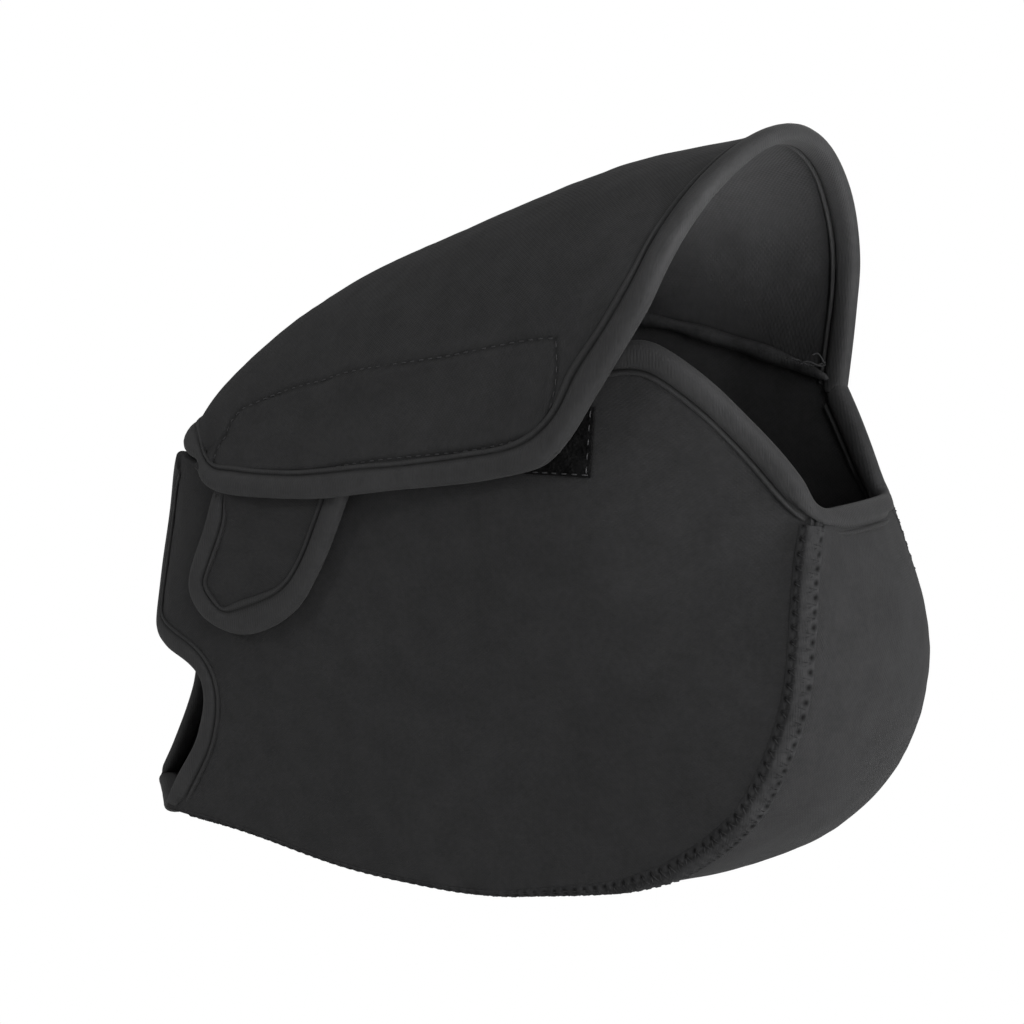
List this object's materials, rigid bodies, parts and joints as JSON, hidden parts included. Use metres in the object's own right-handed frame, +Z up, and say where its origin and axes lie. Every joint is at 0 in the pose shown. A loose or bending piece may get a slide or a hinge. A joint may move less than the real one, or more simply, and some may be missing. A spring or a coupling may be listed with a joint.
{
  "type": "e-bike motor cover",
  "caption": "Soft black cloth cover that wraps the mid motor and lower frame tubes of an electric bicycle, with a hooded flap, a closing strap and bound edges.",
  "frame": {"origin": "centre of the crank axle, on the mid plane between the two side panels", "axes": "+X towards the front wheel, +Y along the crank axle towards the left side of the bicycle, +Z up"},
  "size_m": [0.3781, 0.1124, 0.306],
  "materials": {
    "neoprene": "matte knitted face on neoprene",
    "binding_tape": "woven elastic binding tape",
    "seam_thread": "flat stitched seam",
    "hook_tape": "black hook tape",
    "loop_tape": "fuzzy black loop tape"
  },
  "bodies": {
    "root": {"near_side_panel": "neoprene", "far_side_panel": "neoprene", "gusset": "neoprene", "top_flap": "neoprene", "closing_strap": "neoprene", "near_gusset_seam": "seam_thread", "far_gusset_seam": "seam_thread", "top_seam": "seam_thread", "mouth_binding": "binding_tape", "rear_opening_binding": "binding_tape", "flap_binding": "binding_tape", "strap_binding": "binding_tape", "crank_hole_binding": "binding_tape", "flap_hook_strip": "hook_tape", "side_loop_strip": "loop_tape", "strap_hook_patch": "hook_tape", "strap_loop_patch": "loop_tape", "tab_hook_patch": "hook_tape", "wrap_loop_patch": "loop_tape"}
  },
  "joints": []
}
